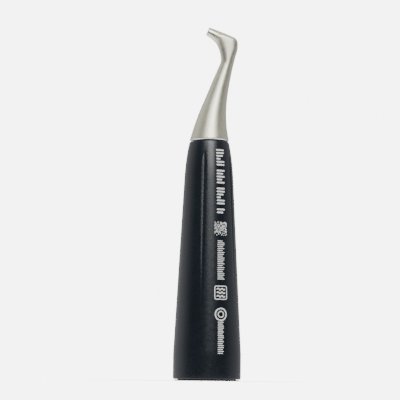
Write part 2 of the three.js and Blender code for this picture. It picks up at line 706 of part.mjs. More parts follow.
// Grip and front block
piece("grip_sleeve", gripSleeve(), blackAnodised);
const gasketZ = FLANGE_TOP + SEAL_GAP;
const gasketRadius = FLANGE_RADIUS - SLIP;
const gasketBore = STUB_NECK_RADIUS + SLIP;
piece(
  "front_gasket",
  pipe(gasketRadius, gasketBore, gasketZ, gasketZ + GASKET_THICKNESS, 24),
  blackRubber,
);
piece("front_block", frontBlock(), brass);
const bushZ = STUB_TOP - PORT_BUSH_LENGTH;
const portSealZ = bushZ - SEAL_GAP - PORT_SEAL_WIRE;
piece("port_seal", sealRing(PORT_SEAL_RADIUS, PORT_SEAL_WIRE, portSealZ, 18), redSilicone);
piece(
  "port_bush",
  pipe(PORT_POCKET - SLIP / 2, JET_TUBE_RADIUS + SLIP, bushZ, STUB_TOP),
  brightSteel,
);

// Tubes and rods
const tubeLow = REAR_BLOCK_TOP - BLOCK_JOINT;
const tubeHigh = FLANGE_LOW + BLOCK_JOINT;
piece("powder_tube", pipe(POWDER_TUBE_RADIUS, POWDER_TUBE_BORE, tubeLow, tubeHigh), brightSteel);
piece("water_tube", waterTube(), brightSteel);
rodPlaces().forEach((place, i) => piece(`cage_rod_${i + 1}`, cageRod(place), brightSteel));

// Rear block and check valve
piece("rear_block", rearBlock(), polymer);
piece("inlet_seal", sealRing(INLET_SEAL_RADIUS, INLET_SEAL_WIRE, INLET_SEAL_Z), redSilicone);
const blockSealZ = REAR_BLOCK_Z + BLOCK_SEAL_WIRE - SEAL_GAP;
piece("block_seal", sealRing(BLOCK_SEAL_RADIUS, BLOCK_SEAL_WIRE, blockSealZ, 32), blackRubber);
piece("valve_seat", valveSeat(), brightSteel);
piece("valve_ball", valveBall(), brightSteel);
piece("valve_spring", valveSpring(), brightSteel);
piece("valve_plug", valvePlug(), brass);

// Hose socket
piece("socket_liner", socketLiner(), brightSteel);
for (let i = 0; i < LATCH_COUNT; i++) piece(`latch_ball_${i + 1}`, latchBall(i), brightSteel);
piece("latch_ring", latchRing(), brightSteel);
piece("end_ring", endRing(), blackRing);

export default root;
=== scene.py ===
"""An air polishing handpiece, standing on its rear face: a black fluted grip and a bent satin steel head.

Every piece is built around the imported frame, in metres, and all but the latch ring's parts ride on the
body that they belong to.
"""

import random
from math import copysign, cos, exp, pi, radians, sin, sqrt

import bmesh
import bpy
from mathutils import Matrix, Quaternion, Vector


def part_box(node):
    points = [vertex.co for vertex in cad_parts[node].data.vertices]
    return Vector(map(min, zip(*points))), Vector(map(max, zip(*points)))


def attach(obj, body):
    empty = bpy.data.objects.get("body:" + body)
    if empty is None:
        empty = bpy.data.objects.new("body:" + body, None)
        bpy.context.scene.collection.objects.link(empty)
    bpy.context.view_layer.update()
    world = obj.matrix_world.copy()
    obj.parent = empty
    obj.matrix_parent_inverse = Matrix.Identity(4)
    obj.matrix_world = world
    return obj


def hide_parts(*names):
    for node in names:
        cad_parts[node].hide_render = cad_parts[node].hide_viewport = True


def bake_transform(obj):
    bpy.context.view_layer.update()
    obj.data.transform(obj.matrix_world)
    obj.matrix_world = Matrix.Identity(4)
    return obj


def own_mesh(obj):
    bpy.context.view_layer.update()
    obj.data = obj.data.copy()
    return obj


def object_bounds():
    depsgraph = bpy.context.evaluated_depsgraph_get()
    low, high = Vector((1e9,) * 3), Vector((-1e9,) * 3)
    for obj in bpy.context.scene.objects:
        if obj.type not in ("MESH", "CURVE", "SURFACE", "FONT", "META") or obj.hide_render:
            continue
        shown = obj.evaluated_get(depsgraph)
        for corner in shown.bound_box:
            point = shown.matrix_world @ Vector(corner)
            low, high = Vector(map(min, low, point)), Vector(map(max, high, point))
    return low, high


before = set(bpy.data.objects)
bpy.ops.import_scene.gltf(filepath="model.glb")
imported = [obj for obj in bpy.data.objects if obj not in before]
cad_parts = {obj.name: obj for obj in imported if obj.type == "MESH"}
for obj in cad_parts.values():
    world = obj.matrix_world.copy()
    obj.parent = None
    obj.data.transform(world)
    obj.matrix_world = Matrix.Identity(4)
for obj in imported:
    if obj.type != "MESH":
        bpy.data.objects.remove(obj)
cad_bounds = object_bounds()
mm = 0.001

# ---------------- camera
# A long lens just above the bench, a little to the nozzle's side, looks up at the handpiece's middle.
# It leans a touch, as a hand-held camera does, and holds the handpiece a little right of the middle.

view_side = radians(-6.7)
view_rise = radians(-5.5)
view_lean = radians(0.63)
view_distance = 594 * mm
view_middle = Vector((0, 0, 0.507 * cad_bounds[1][2]))


def added(name, data):
    """A new object in the scene."""
    made = bpy.data.objects.new(name, data)
    bpy.context.scene.collection.objects.link(made)
    return made


camera_data = bpy.data.cameras.new("camera")
camera_data.lens = 164.2
camera_data.sensor_width = 36
camera_data.clip_start = 10 * mm
camera = added("camera", camera_data)
toward_camera = Vector((sin(view_side) * cos(view_rise), -cos(view_side) * cos(view_rise), sin(view_rise)))
view_right = Vector((cos(view_side), sin(view_side), 0))
camera.location = view_middle - 2.8 * mm * view_right + view_distance * toward_camera
camera.rotation_mode = "QUATERNION"
camera.rotation_quaternion = toward_camera.to_track_quat("Z", "Y") @ Quaternion((0, 0, 1), view_lean)
bpy.context.scene.camera = camera

# ---------------- grip sleeve
# The handle is one aluminium turning, bored from the rear, with five flutes milled along its taper. It
# is bead blasted and then anodised black, which leaves a satin surface with a trace of blue.

grip_low, grip_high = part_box("grip_sleeve")
grip_rear = grip_low.z
grip_front = grip_high.z
rear_radius = grip_high.y
rear_edge = 0.5 * mm
band_top = 8.6 * mm
shoulder_radius = 8.03 * mm
shoulder_height = 12.4 * mm
shoulder_z = grip_front - shoulder_height
shoulder_lead = 0.61  # how far up the shoulder the taper's line still aims
front_radius = 6.45 * mm
front_edge = 0.12 * mm
grip_wall = 1.5 * mm
lip_z = grip_front - 5.6 * mm
lip_bore = 3.75 * mm
flange_seat = 5.75 * mm
flange_seat_low = lip_z - 4 * mm
ring_thread_bore = rear_radius - 1.15 * mm
ring_thread_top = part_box("end_ring")[1].z + 0.8 * mm
flute_count = 5
flute_pitch = 2 * pi / flute_count
flute_cutter = 1.3 * mm
flute_depth = 0.33 * mm
flute_rear_z = 24 * mm
flute_edge = 0.05 * mm


def taper_radius(z):
    share = max(0.0, (z - band_top) / (shoulder_z - band_top))
    return rear_radius + (shoulder_radius - rear_radius) * share


def grip_radius(z):
    """The grip's outer radius at a height, before the flutes. The shoulder is a quadratic curve."""
    if z <= shoulder_z:
        return taper_radius(z)
    rise = min(1.0, (z - shoulder_z) / shoulder_height)
    curl = 2 * shoulder_lead - 1
    t = (shoulder_lead - sqrt(shoulder_lead**2 - curl * rise)) / curl
    aim = taper_radius(shoulder_z + shoulder_lead * shoulder_height)
    return (1 - t) ** 2 * shoulder_radius + 2 * t * (1 - t) * aim + t * t * front_radius


def soft_least(a, b, blend):
    """The smaller of two sizes, with the crease between them eased."""
    overlap = max(blend - abs(a - b), 0.0) / blend
    return min(a, b) - overlap * overlap * blend / 4


def fluted_radius(angle, z):
    """The grip's outer radius in one direction. A flute is a round cut along a straight sloping line."""
    start = taper_radius(flute_rear_z)
    run = (z - flute_rear_z) / (shoulder_z - flute_rear_z)
    cutter_axis = start + (shoulder_radius - flute_depth - start) * run + flute_cutter
    away = (angle - pi + flute_pitch / 2) % flute_pitch - flute_pitch / 2
    reach = flute_cutter**2 - (cutter_axis * sin(away)) ** 2
    if reach <= 0:
        return grip_radius(z)
    return soft_least(grip_radius(z), cutter_axis * cos(away) - sqrt(reach), flute_edge)


def steps(start, end, count):
    """Evenly spaced values from start up to, and not including, end."""
    return [start + (end - start) * i / count for i in range(count)]


def ring_at(z, radius_at, angles, x=0.0, y=0.0):
    """A level ring of points. Its radius is one size, or a function of the angle."""
    size = radius_at if callable(radius_at) else lambda angle: radius_at
    return [Vector((x + size(a) * cos(a), y + size(a) * sin(a), z)) for a in angles]


def add_skin(shell, rings, closed):
    """Skins rings of equal length. Closed joins the last ring to the first, and open caps both ends."""
    rows = [[shell.verts.new(p) for p in ring] for ring in rings]
    count = len(rings[0])
    pairs = list(zip(rows, rows[1:] + rows[:1])) if closed else list(zip(rows, rows[1:]))
    for low, high in pairs:
        for k in range(count):
            n = (k + 1) % count
            shell.faces.new((low[k], low[n], high[n], high[k]))
    if not closed:
        shell.faces.new(reversed(rows[0]))
        shell.faces.new(rows[-1])


def skinned(name, *skins, closed=True, crease=30):
    """A piece made of one or more skins. Edges sharper than the crease stay sharp."""
    shell = bmesh.new()
    for rings in skins:
        add_skin(shell, rings, closed)
    bmesh.ops.remove_doubles(shell, verts=shell.verts, dist=1e-7)
    bmesh.ops.recalc_face_normals(shell, faces=shell.faces)
    mesh = bpy.data.meshes.new(name)
    shell.to_mesh(mesh)
    shell.free()
    mesh.shade_smooth()
    mesh.set_sharp_from_angle(angle=radians(crease))
    return added(name, mesh)


def eased(outline, radius, count=3, loop=True):
    """An outline of (radius, height) points with a small curve at each corner."""
    points = [Vector(p) for p in outline]
    out = []
    for i, corner in enumerate(points):
        if not loop and i in (0, len(points) - 1):
            out.append(corner)
            continue
        back = points[i - 1] - corner
        on = points[(i + 1) % len(points)] - corner
        cut = min(radius, back.length * 0.45, on.length * 0.45)
        first, last = corner + back.normalized() * cut, corner + on.normalized() * cut
        for k in range(count + 1):
            t = k / count
            out.append((1 - t) ** 2 * first + 2 * t * (1 - t) * corner + t * t * last)
    return [(p.x, p.y) for p in out]


def flute_columns():
    """Angles round the grip, close together across each flute and wider between them."""
    half = radians(9)
    angles = []
    for k in range(flute_count):
        middle = pi + k * flute_pitch
        angles += steps(middle - half, middle + half, 30)
        angles += steps(middle + half, middle + flute_pitch - half, 18)
    return angles


def grip_outside():
    """Heights up the outside, each with how far the surface is drawn in there to round an edge."""
    rows = []
    for turn in steps(0.0, pi / 2, 6):
        rows.append((grip_rear + rear_edge * (1 - cos(turn)), rear_edge * (1 - sin(turn))))
    heights = steps(grip_rear + rear_edge, band_top, 6) + steps(band_top, flute_rear_z - 4 * mm, 8)
    heights += steps(flute_rear_z - 4 * mm, shoulder_z, 60) + steps(shoulder_z, grip_front - front_edge, 44)
    rows += [(z, 0.0) for z in heights]
    for turn in steps(0.0, pi / 2, 4):
        rows.append((grip_front - front_edge * (1 - sin(turn)), front_edge * (1 - cos(turn))))
    return rows


def grip_bore():
    """The bore's outline from the front face down to the rear one."""
    below_seat = flange_seat_low - mm
    return eased(
        [
            (front_radius - front_edge, grip_front), (lip_bore, grip_front), (lip_bore, lip_z),
            (flange_seat, lip_z), (flange_seat, flange_seat_low),
            (taper_radius(below_seat) - grip_wall, below_seat),
            (taper_radius(ring_thread_top) - grip_wall, ring_thread_top),
            (ring_thread_bore, ring_thread_top), (ring_thread_bore, grip_rear),
            (rear_radius - rear_edge - 0.02 * mm, grip_rear),
        ],
        0.12 * mm,
        loop=False,
    )


def shader(name, colour, metallic, roughness, gloss=0.5):
    """A new material and its main shader, with the values that are even all over set on it."""
    material = bpy.data.materials.new(name)
    material.use_nodes = True
    surface = material.node_tree.nodes["Principled BSDF"]
    surface.inputs["Base Color"].default_value = (*colour, 1)
    surface.inputs["Metallic"].default_value = metallic
    surface.inputs["Roughness"].default_value = roughness
    surface.inputs["Specular IOR Level"].default_value = gloss
    return material, surface


def link(material, output, socket):
    material.node_tree.links.new(output, socket)


def node(material, kind, **inputs):
    """A new node with its inputs set, or linked where the value is another node's output."""
    made = material.node_tree.nodes.new("ShaderNode" + kind)
    for label, value in inputs.items():
        socket = made.inputs[label.replace("_", " ")]
        if isinstance(value, bpy.types.NodeSocket):
            link(material, value, socket)
        else:
            socket.default_value = value
    return made


def place(material):
    """The point on the piece, in metres from the handpiece's foot."""
    return node(material, "TexCoord").outputs["Object"]


def noise(material, size, detail=2.0, where=None):
    """Noise whose grains are about that size in metres."""
    where = where or place(material)
    return node(material, "TexNoise", Vector=where, Scale=1 / size, Detail=detail).outputs["Fac"]


def ranged(material, value, low, high, start=0.3, end=0.7):
    """A value from start to end, stretched to run from low to high."""
    made = node(material, "MapRange", Value=value)
    made.inputs["From Min"].default_value = start
    made.inputs["From Max"].default_value = end
    made.inputs["To Min"].default_value = low
    made.inputs["To Max"].default_value = high
    return made.outputs["Result"]


def tinted(material, surface, value, *stops):
    """Colours the surface by a value, over stops of (value, colour)."""
    ramp = node(material, "ValToRGB", Fac=value)
    bar = ramp.color_ramp
    bar.elements[0].position, bar.elements[1].position = stops[0][0], stops[-1][0]
    bar.elements[0].color, bar.elements[1].color = (*stops[0][1], 1), (*stops[-1][1], 1)
    for at, colour in stops[1:-1]:
        bar.elements.new(at).color = (*colour, 1)
    link(material, ramp.outputs["Color"], surface.inputs["Base Color"])


def roughened(material, surface, value, low, high):
    link(material, ranged(material, value, low, high), surface.inputs["Roughness"])


def grained(material, surface, *layers):
    """Gives a surface its grain, from layers of (height, depth in metres)."""
    normal = None
    for height, depth in layers:
        bump = node(material, "Bump", Height=height, Distance=depth, Strength=1.0)
        if normal:
            link(material, normal, bump.inputs["Normal"])
        normal = bump.outputs["Normal"]
    link(material, normal, surface.inputs["Normal"])


def anodised(name, dark, light, low, high):
    """Bead-blasted and dyed aluminium: cloudy dye, fine blast grain and faint handling marks."""
    material, surface = shader(name, dark, 0.0, low, 0.62)
    cloud = noise(material, 6 * mm, 4)
    handled = noise(material, 1.3 * mm, 5)
    tinted(material, surface, cloud, (0.35, dark), (0.65, light))
    roughened(material, surface, handled, low, high)
    blast = noise(material, 0.12 * mm, 3)
    grained(material, surface, (blast, 0.0012 * mm), (handled, 0.0015 * mm))
    return material


def dress(piece, body, cad_node, finish):
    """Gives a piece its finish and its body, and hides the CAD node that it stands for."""
    if not piece.data.materials:
        piece.data.materials.append(finish)
    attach(piece, body)
    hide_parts(cad_node)


columns = flute_columns()
grip_rings = [
    ring_at(z, lambda a, z=z, inset=inset: fluted_radius(a, z) - inset, columns)
    for z, inset in grip_outside()
]
grip_rings += [ring_at(z, r, columns) for r, z in grip_bore()]
black_anodised = anodised("black_anodised", (0.0025, 0.0062, 0.0115), (0.0038, 0.0086, 0.0150), 0.25, 0.31)
grip = skinned("grip", grip_rings, crease=50)
dress(grip, "handle", "grip_sleeve", black_anodised)

# ---------------- grip markings
# White laser marks stand in one row on the land right of the front flute. They are generic: three scales
# of bars, a patch of dots, a steam symbol and a double ring. None of them is lettering.

marks_turn = radians(-74.3)
marks_twist = radians(0.095) / mm
mark_proud = 0.012 * mm
mark_sunk = 0.02 * mm


def on_grip(across, z, proud):
    """A point on the grip's land, that far round from the row of marks."""
    angle = marks_turn + marks_twist * z + across / grip_radius(z)
    radius = grip_radius(z) + proud
    return Vector((radius * cos(angle), radius * sin(angle), z))


def fine_path(points):
    """The same path with points close enough to follow the grip's curve."""
    out = []
    for a, b in zip(points, points[1:]):
        count = max(1, round((b - a).length / (0.45 * mm)))
        out += [a.lerp(b, i / count) for i in range(count)]
    return out + [points[-1]]


def stroke(path, width, round_ends=True):
    """A thin raised line along (across, height) points, as rings for a skin."""
    points = fine_path([Vector(p) for p in path])
    half = width / 2
    start, end = (points[0] - points[1]).normalized(), (points[-1] - points[-2]).normalized()
    line = [(p, half) for p in points]
    if round_ends:
        caps = [(half * sin(t), half * cos(t)) for t in (1.3, 0.9, 0.45)]
        line = [(points[0] + start * out, wide) for out, wide in caps] + line
        line += [(points[-1] + end * out, wide) for out, wide in reversed(caps)]
    rings = []
    for i, (point, wide) in enumerate(line):
        along = line[min(i + 1, len(line) - 1)][0] - line[max(i - 1, 0)][0]
        side = Vector((-along.y, along.x)).normalized() * wide
        left, right = point + side, point - side
        corners = ((left, -mark_sunk), (left, mark_proud), (right, mark_proud), (right, -mark_sunk))
        rings.append([on_grip(*corner, proud) for corner, proud in corners])
    return rings


def bar_across(z, low, high, thickness):
    """A bar that lies across the row, at one height."""
    return stroke([(low, z), (high, z)], thickness)


def scale_of_bars(top, bottom, gap, long_half, thickness, pattern):
    """Bars down the row. The pattern gives how long each is, where 0 leaves it out."""
    count = int((top - bottom) / gap) + 1
    bars = []
    for i in range(count):
        reach = pattern[i % len(pattern)] * long_half
        if reach:
            bars.append(bar_across(top - i * gap, -long_half, 2 * reach - long_half, thickness))
    return bars


def dot_patch(top, size, cells):
    """A square patch of dots in no order."""
    toss = random.Random(11)
    cell = size / cells
    dot_share = 0.55
    dot_half = 0.42 * cell
    dots = []
    for row in range(cells):
        for column in range(cells):
            if toss.random() < dot_share:
                u = (column + 0.5) * cell - size / 2
                z = top - (row + 0.5) * cell
                dots.append(stroke([(u - dot_half, z), (u + dot_half, z)], 0.84 * cell, round_ends=False))
    return dots


def circle_path(z, radius, count=32):
    turns = [2 * pi * i / count for i in range(count + 1)]
    return [(radius * cos(t), z + radius * sin(t)) for t in turns]


def steam_symbol(z, half):
    """A frame with eased corners around three wavy lines."""
    corner = 0.5 * mm
    frame_line = []
    for k, (sx, sz) in enumerate([(1, 1), (-1, 1), (-1, -1), (1, -1)]):
        for t in steps(0, pi / 2, 5) + [pi / 2]:
            turn = t + k * pi / 2
            x = sx * (half - corner) + corner * cos(turn)
            frame_line.append((x, z + sz * (half - corner) + corner * sin(turn)))
    frame_line.append(frame_line[0])
    lines = [stroke(frame_line, 0.3 * mm, round_ends=False)]
    wave_length, wave_gap, wave_height = 2.7 * mm, 1.15 * mm, 0.28 * mm
    for k in (-1, 0, 1):
        wave = [
            (-1.35 * mm + wave_length * i / 18, z + k * wave_gap + wave_height * sin(i * pi / 4.5))
            for i in range(19)
        ]
        lines.append(stroke(wave, 0.36 * mm))
    return lines


laser_white, laser_surface = shader("laser_white", (0.97, 0.98, 0.96), 0.0, 0.55, 0.5)
etched = noise(laser_white, 0.25 * mm, 4)
tinted(laser_white, laser_surface, etched, (0.3, (0.92, 0.93, 0.91)), (0.7, (0.99, 1.0, 0.98)))
roughened(laser_white, laser_surface, etched, 0.5, 0.65)
grained(laser_white, laser_surface, (etched, 0.002 * mm))

upper_bars = (1, 1, 0.8, 0.4, 1, 1, 0, 1, 0.75, 1, 0.6, 1, 0)
middle_bars = (0.7, 1, 1, 0.8, 1, 0.7, 1, 0.9)
lower_bars = (1, 0.8, 1, 1, 0.8)
ring_z = 21.2 * mm
marks = {
    "marks_upper_scale": scale_of_bars(
        top=74.3 * mm, bottom=53.0 * mm, gap=0.97 * mm, long_half=1.2 * mm, thickness=0.5 * mm,
        pattern=upper_bars,
    ),
    "marks_dot_patch": dot_patch(top=50.9 * mm, size=4.45 * mm, cells=14),
    "marks_middle_scale": scale_of_bars(
        top=44.7 * mm, bottom=31.9 * mm, gap=0.61 * mm, long_half=1.1 * mm, thickness=0.26 * mm,
        pattern=middle_bars,
    ),
    "marks_steam_symbol": steam_symbol(z=28.1 * mm, half=2.1 * mm),
    "marks_ring": [
        stroke(circle_path(ring_z, 1.9 * mm), 0.42 * mm, round_ends=False),
        stroke(circle_path(ring_z, 0.95 * mm, 20), 0.34 * mm, round_ends=False),
    ],
    "marks_lower_scale": scale_of_bars(
        top=18.7 * mm, bottom=8.5 * mm, gap=0.62 * mm, long_half=0.9 * mm, thickness=0.3 * mm,
        pattern=lower_bars,
    ),
}
for name, strokes in marks.items():
    mark = skinned(name, *strokes, closed=False, crease=20)
    mark.data.materials.append(laser_white)
    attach(mark, "handle")

# ---------------- rear block, its seals and water valve
# A moulded polymer manifold takes the hose plug's nose. A silicone ring seals the powder port, a rubber
# ring seals the face, and a steel ball, held by a spring and a brass plug, stops water running back.

block_low, block_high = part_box("rear_block")
ball_low, ball_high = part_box("valve_ball")
valve_x = (ball_low.x + ball_high.x) / 2
block_step_z = block_low.z + 5 * mm
port_top = block_low.z + 6 * mm
port_groove = 4.12 * mm
inlet_low, inlet_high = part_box("inlet_seal")
block_wall_gap = 0.15 * mm
round_turns = steps(0.0, 2 * pi, 72)


def turned(name, outline, x=0.0, y=0.0, ease=0.08 * mm, turns=round_turns, crease=30):
    """A piece turned on a lathe. The outline is a loop of (radius, height) points, or ends on the axis."""
    on_axis = outline[0][0] == 0
    path = eased(outline, ease, loop=not on_axis)
    return skinned(name, [ring_at(z, r, turns, x, y) for r, z in path], crease=crease)


def washer(bore, radius, low, high):
    """The outline of a plain ring."""
    return [(bore, low), (radius, low), (radius, high), (bore, high)]


def bushing(bore, radius, low, high, chamfer):
    """The outline of a ring whose bore is chamfered at the top."""
    return washer(bore, radius, low, high)[:3] + [(bore + chamfer, high), (bore, high - chamfer)]


def o_ring(name, cad_node, turns=round_turns):
    """A moulded ring, with the fine flash line that its mould leaves round the inside and the outside."""
    low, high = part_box(cad_node)
    wire = (high.z - low.z) / 2
    radius = high.x - wire
    z = (low.z + high.z) / 2
    rings = []
    for t in steps(0.0, 2 * pi, 28):
        flash = 0.03 * exp(-((sin(t) / 0.14) ** 2))
        swell = wire * (1 + flash)
        rings.append(ring_at(z + swell * sin(t), radius + swell * cos(t), turns))
    return skinned(name, rings)


def drill(radius, low, high, x=0.0, y=0.0, top_radius=None, sides=40):
    """A cutter for a round hole."""
    top = radius if top_radius is None else top_radius
    turns = steps(0.0, 2 * pi, sides)
    ends = [ring_at(low, radius, turns, x, y), ring_at(high, top, turns, x, y)]
    return skinned("drill", ends, closed=False)


def slot_mill(size, middle, turn=0.0):
    """A cutter for a straight slot."""
    shell = bmesh.new()
    bmesh.ops.create_cube(shell, size=1.0, matrix=Matrix.Diagonal((*size, 1)))
    mesh = bpy.data.meshes.new("mill")
    shell.to_mesh(mesh)
    shell.free()
    mesh.transform(Matrix.Rotation(turn, 4, "Z") @ Matrix.Translation(Vector(middle)))
    return added("mill", mesh)


def cut_out(piece, *cutters, crease=30):
    """Cuts the cutters' shapes out of a piece, and clears them away."""
    for cutter in cutters:
        cut = piece.modifiers.new("cut", "BOOLEAN")
        cut.operation = "DIFFERENCE"
        cut.object = cutter
        cut.solver = "EXACT"
    bpy.context.view_layer.update()
    uncut = piece.data
    piece.data = bpy.data.meshes.new_from_object(piece.evaluated_get(bpy.context.evaluated_depsgraph_get()))
    piece.modifiers.clear()
    bpy.data.meshes.remove(uncut)
    for cutter in cutters:
        bpy.data.meshes.remove(cutter.data)
    piece.data.shade_smooth()
    piece.data.set_sharp_from_angle(angle=radians(crease))
    return piece


def moulded(name, dark, light, rough, gloss=0.5, soft=0.0):
    """A moulded polymer or rubber: slight cloudiness, flow marks and a fine moulded grain."""
    material, surface = shader(name, dark, 0.0, rough, gloss)
    surface.inputs["Subsurface Weight"].default_value = soft
    surface.inputs["Subsurface Radius"].default_value = (0.4 * mm, 0.25 * mm, 0.12 * mm)
    surface.inputs["Subsurface Scale"].default_value = 1.0
    flow = noise(material, 2.2 * mm, 5)
    grain = noise(material, 0.09 * mm, 2)
    tinted(material, surface, flow, (0.3, dark), (0.7, light))
    roughened(material, surface, flow, rough - 0.05, rough + 0.07)
    grained(material, surface, (grain, 0.002 * mm), (flow, 0.004 * mm))
    return material


def length_of(material, vector):
    reach = node(material, "VectorMath")
    reach.operation = "LENGTH"
    link(material, vector, reach.inputs[0])
    return reach.outputs["Value"]


def round_the_axis(material):
    """Coordinates that follow a turning tool: distance from the handpiece's axis, and height."""
    parts = node(material, "SeparateXYZ", Vector=place(material)).outputs
    flat = node(material, "CombineXYZ", X=parts["X"], Y=parts["Y"]).outputs["Vector"]
    return node(material, "CombineXYZ", X=length_of(material, flat), Z=parts["Z"]).outputs["Vector"]


def turned_metal(name, colour, rough, mark=0.001 * mm):
    """A bright metal with the fine rings that a lathe tool leaves, and slightly clouded by handling."""
    material, surface = shader(name, colour, 1.0, rough)
    rings = noise(material, 0.06 * mm, 2, round_the_axis(material))
    smear = noise(material, 1.1 * mm, 4)
    dull = tuple(0.9 * c for c in colour)
    tinted(material, surface, smear, (0.3, dull), (0.7, colour))
    roughened(material, surface, smear, rough - 0.04, rough + 0.06)
    grained(material, surface, (rings, mark), (smear, 0.001 * mm))
    return material


amber_polymer = moulded("amber_polymer", (0.50, 0.36, 0.17), (0.62, 0.46, 0.24), 0.42, soft=0.15)
red_silicone = moulded("red_silicone", (0.36, 0.05, 0.025), (0.47, 0.08, 0.04), 0.5, soft=0.1)
black_rubber = moulded("black_rubber", (0.014, 0.015, 0.016), (0.024, 0.025, 0.026), 0.62)
bright_steel = turned_metal("bright_steel", (0.66, 0.66, 0.65), 0.2)
polished_steel = turned_metal("polished_steel", (0.76, 0.76, 0.74), 0.1, 0.0003 * mm)
tube_steel = turned_metal("tube_steel", (0.60, 0.60, 0.59), 0.24)
spring_steel = turned_metal("spring_steel", (0.50, 0.49, 0.47), 0.22, 0.0004 * mm)
brass = turned_metal("brass", (0.72, 0.52, 0.22), 0.22)

block_lower = taper_radius(block_step_z) - grip_wall - block_wall_gap
block_upper = taper_radius(block_high.z) - grip_wall - block_wall_gap
block_bore = 0.75 * mm
inlet_seal_wire = 0.5 * mm
inlet_seal_proud = 0.3 * mm
port_radius = -inlet_low.x - 2 * inlet_seal_wire + inlet_seal_proud
inlet_z = (inlet_low.z + inlet_high.z) / 2
groove_half = (inlet_high.z - inlet_low.z) / 2 + 0.12 * mm
joint_depth = 3.3 * mm
rod_places = [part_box(f"cage_rod_{k}") for k in (1, 2)]
rod_middles = [(low + high) / 2 for low, high in rod_places]
tube_hole = 1.35 * mm
rod_hole = 0.85 * mm
water_hole = 0.95 * mm
block_seal_low, block_seal_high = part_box("block_seal")
block_seal_radius = block_seal_high.x - (block_seal_high.z - block_seal_low.z) / 2
seal_groove_half = 0.52 * mm
seal_groove_depth = 0.8 * mm
valve_way = 0.6 * mm
valve_chamber = 1.475 * mm

rear_block = turned(
    "rear_block_moulding",
    [
        (port_radius, block_low.z), (block_seal_radius - seal_groove_half, block_low.z),
        (block_seal_radius - seal_groove_half, block_low.z + seal_groove_depth),
        (block_seal_radius + seal_groove_half, block_low.z + seal_groove_depth),
        (block_seal_radius + seal_groove_half, block_low.z), (block_lower, block_low.z),
        (block_lower, block_step_z), (block_upper, block_step_z), (block_upper, block_high.z),
        (tube_hole, block_high.z), (tube_hole, block_high.z - joint_depth),
        (block_bore, block_high.z - joint_depth), (block_bore, port_top), (port_radius, port_top),
        (port_radius, inlet_z + groove_half), (port_groove, inlet_z + groove_half),
        (port_groove, inlet_z - groove_half), (port_radius, inlet_z - groove_half),
    ],
)
seat_low, seat_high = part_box("valve_seat")
valve_chamber_low = seat_low.z - 0.3 * mm
rod_hole_low = block_high.z - joint_depth
cut_out(
    rear_block,
    drill(valve_way, block_low.z - mm, valve_chamber_low + mm, valve_x, sides=24),
    drill(valve_chamber, valve_chamber_low, block_high.z + mm, valve_x),
    *[drill(rod_hole, rod_hole_low, block_high.z + mm, p.x, p.y, sides=24) for p in rod_middles],
)
dress(rear_block, "handle", "rear_block", amber_polymer)
dress(o_ring("inlet_seal_ring", "inlet_seal"), "handle", "inlet_seal", red_silicone)
dress(o_ring("block_face_seal", "block_seal"), "handle", "block_seal", black_rubber)

valve_body = seat_high.y
seat_bore = 0.6 * mm
seat_chamfer = 0.2 * mm
few_turns = steps(0.0, 2 * pi, 48)
valve_seat = turned(
    "valve_seat_insert",
    bushing(seat_bore, valve_body, seat_low.z, seat_high.z, seat_chamfer),
    x=valve_x,
    ease=0.04 * mm,
    turns=few_turns,
)
dress(valve_seat, "handle", "valve_seat", bright_steel)


def lapped_ball(name, cad_node):
    """A hardened ball, turned from a half circle, with the small flat bands that lapping leaves."""
    low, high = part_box(cad_node)
    centre, radius = (low + high) / 2, (high.z - low.z) / 2
    rings = []
    for i in range(37):
        t = -pi / 2 + pi * i / 36
        lap = 1 - 0.0008 * (1 + cos(14 * t))
        r, z = radius * lap * cos(t), radius * lap * sin(t)
        rings.append(ring_at(centre.z + z, max(r, 0.0), few_turns, centre.x, centre.y))
    return skinned(name, rings[1:-1], closed=False)


valve_ball = lapped_ball("valve_ball_steel", "valve_ball")
dress(valve_ball, "check_ball", "valve_ball", polished_steel)


def swept(path, outline, turns):
    """Rings along a path. The outline is a list of (number of the path's point, radius, how far ahead)."""
    normal = Vector((0, 1, 0))
    frames = []
    for i, point in enumerate(path):
        along = (path[min(i + 1, len(path) - 1)] - path[max(i - 1, 0)]).normalized()
        normal = (normal - along * normal.dot(along)).normalized()
        frames.append((point, normal.copy(), along.cross(normal)))
    angles = steps(0.0, 2 * pi, turns)
    rings = []
    for i, radius, out in outline:
        point, n, b = frames[i]
        ahead = n.cross(b)
        rings.append([point + ahead * out + (n * cos(a) + b * sin(a)) * radius for a in angles])
    return rings


def wire_rings(path, radius, turns=16):
    """A solid wire with rounded ends along a path."""
    last = len(path) - 1
    caps = [(radius * cos(t), radius * sin(t)) for t in (0.4, 0.8, 1.2)]
    outline = [(0, wide, -out) for wide, out in reversed(caps)]
    outline += [(i, radius, 0.0) for i in range(last + 1)]
    outline += [(last, wide, out) for wide, out in caps]
    return swept(path, outline, turns)


def tube_rings(path, radius, bore, turns=32):
    """A tube with eased ends along a path, from the outside to the bore."""
    last = len(path) - 1
    ease = 0.06 * mm
    outline = [(0, bore + ease, 0.0), (0, radius - ease, 0.0), (0, radius, ease)]
    outline += [(i, radius, 0.0) for i in range(1, last)]
    outline += [(last, radius, -ease), (last, radius - ease, 0.0), (last, bore + ease, 0.0)]
    outline += [(last, bore, -ease)] + [(i, bore, 0.0) for i in range(last - 1, 0, -1)]
    outline += [(0, bore, ease)]
    return swept(path, outline, turns)


spring_low, spring_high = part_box("valve_spring")
spring_wire = 0.13 * mm
spring_radius = spring_high.y - spring_wire
spring_turns = 6


def spring_path():
    """The spring's coil, with its end turns closed up."""
    points = []
    count = spring_turns * 40
    low, high = spring_low.z + spring_wire, spring_high.z - spring_wire
    for i in range(count + 1):
        share = i / count
        rise = share - 0.09 * sin(2 * pi * share)
        a = share * spring_turns * 2 * pi
        x, y = valve_x + spring_radius * cos(a), spring_radius * sin(a)
        points.append(Vector((x, y, low + (high - low) * rise)))
    return points


